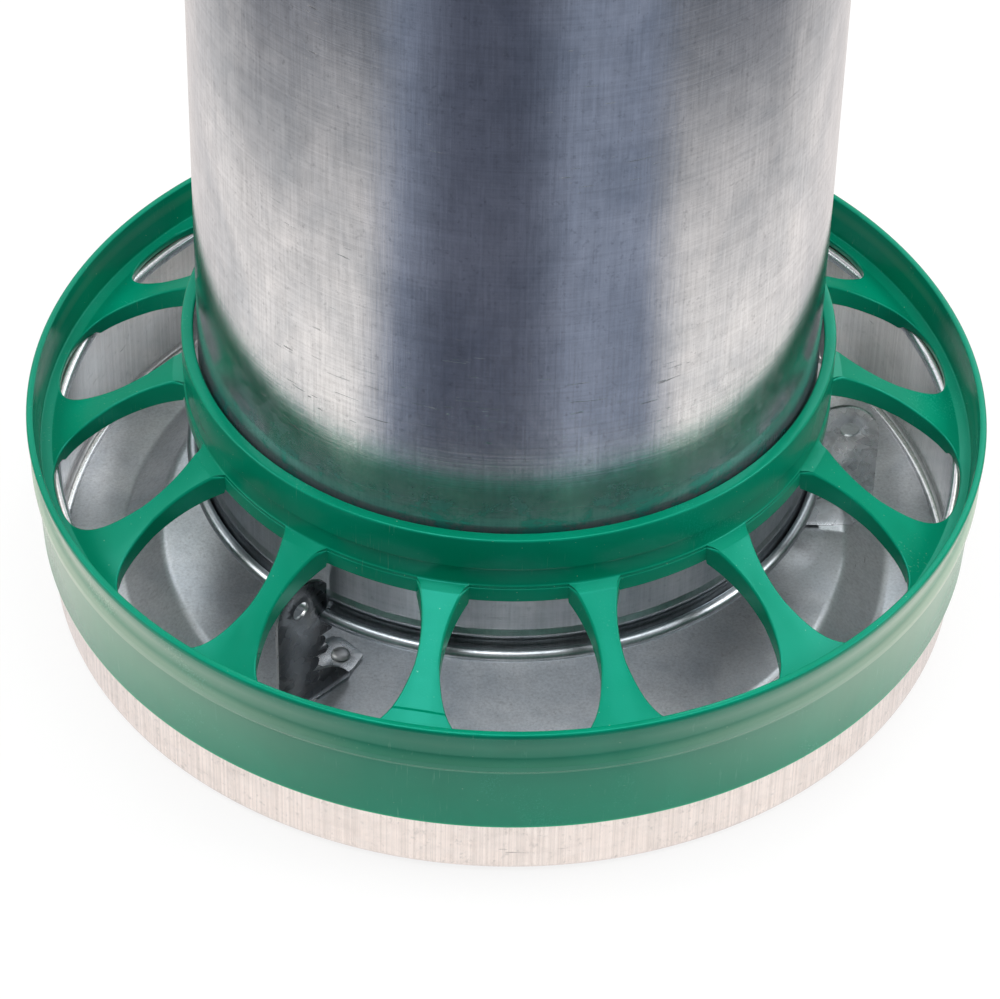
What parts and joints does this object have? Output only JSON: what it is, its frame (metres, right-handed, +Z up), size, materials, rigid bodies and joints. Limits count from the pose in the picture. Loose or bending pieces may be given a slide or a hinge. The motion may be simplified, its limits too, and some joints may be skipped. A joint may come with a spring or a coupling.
{
  "type": "gravity poultry feeder",
  "caption": "Galvanised hopper tube hung by its rolled rim in notched brackets over a pressed feed pan, with a spoked green plastic grille, a wire bail and a lift-off lid",
  "frame": {"origin": "on the ground under the middle of the feeder, at the bottom centre of its box", "axes": "+Z up along the hopper's axis, -Y towards the viewer's side of the reference view, +X to the right"},
  "size_m": [0.4, 0.4, 0.5298],
  "materials": {
    "galvanised_sheet": "bright galvanised sheet with a fine drawn grain and soft handling marks",
    "galvanised_plate": "dull zinc-plated punched plate with faint spangle and stains",
    "zinc_wire": "drawn zinc-coated steel wire",
    "rivet_steel": "bright zinc-plated fasteners",
    "green_plastic": "injection-moulded polypropylene with a soft sheen",
    "black_plastic": "moulded plastic knob"
  },
  "bodies": {
    "pan": {"pan": "galvanised_sheet", "pan_rim_wire": "zinc_wire", "bracket_1": "galvanised_plate", "bracket_2": "galvanised_plate", "bracket_3": "galvanised_plate", "bracket_1_rivet_inner": "rivet_steel", "bracket_1_rivet_outer": "rivet_steel", "bracket_2_rivet_inner": "rivet_steel", "bracket_2_rivet_outer": "rivet_steel", "bracket_3_rivet_inner": "rivet_steel", "bracket_3_rivet_outer": "rivet_steel"},
    "hopper": {"hopper_tube": "galvanised_sheet", "hopper_bottom_wire": "zinc_wire", "hopper_top_wire": "zinc_wire", "bail_ear_right": "galvanised_plate", "bail_ear_right_rivet_front": "rivet_steel", "bail_ear_right_rivet_back": "rivet_steel", "bail_ear_left": "galvanised_plate", "bail_ear_left_rivet_front": "rivet_steel", "bail_ear_left_rivet_back": "rivet_steel"},
    "grille": {"feed_grille": "green_plastic", "guard_ring": "green_plastic"},
    "lid": {"lid": "galvanised_sheet", "lid_knob": "black_plastic", "lid_screw": "rivet_steel"},
    "bail": {"bail": "zinc_wire"}
  },
  "joints": [
    {"name": "hopper_spin", "type": "hinge", "parent": "pan", "child": "hopper", "pos_m": [0, 0, 0.0605], "axis": [0, 0, 1], "continuous": true},
    {"name": "grille_lift", "type": "slide", "parent": "pan", "child": "grille", "axis": [0, 0, 1], "range_m": [0, 0.15]},
    {"name": "lid_lift", "type": "slide", "parent": "hopper", "child": "lid", "axis": [0, 0, 1], "range_m": [0, 0.15]},
    {"name": "bail_swing", "type": "hinge", "parent": "hopper", "child": "bail", "pos_m": [0, 0, 0.4495], "axis": [1, 0, 0], "range_deg": [0, 278.5]}
  ]
}
